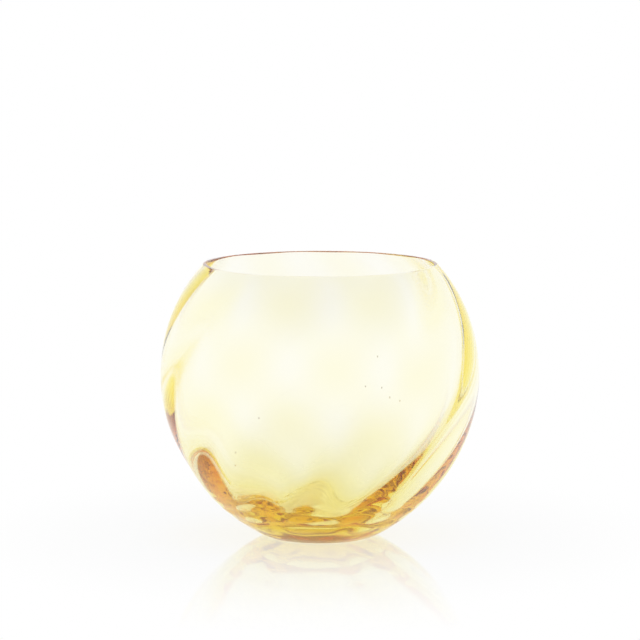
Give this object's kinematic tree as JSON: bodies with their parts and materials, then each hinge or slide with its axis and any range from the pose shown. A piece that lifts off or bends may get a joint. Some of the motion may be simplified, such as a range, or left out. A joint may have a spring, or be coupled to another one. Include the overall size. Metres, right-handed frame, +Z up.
{
  "type": "blown glass vase",
  "caption": "Squat globe vase of clear pale yellow blown glass with a wide open mouth, soft winding ribs and a thick flat foot; holds flowers, water or a candle.",
  "frame": {"origin": "middle of the flat foot, on the surface that the vase stands on", "axes": "+Z up along the axis of the bowl, -Y towards the viewer of the reference picture, +X to that viewer's right"},
  "size_m": [0.1598, 0.16, 0.137],
  "materials": {
    "yellow_glass": "clear pale yellow soda glass tinted through its body, fire polished, cut and polished at the rim"
  },
  "bodies": {
    "root": {"glass_bowl": "yellow_glass"}
  },
  "joints": []
}
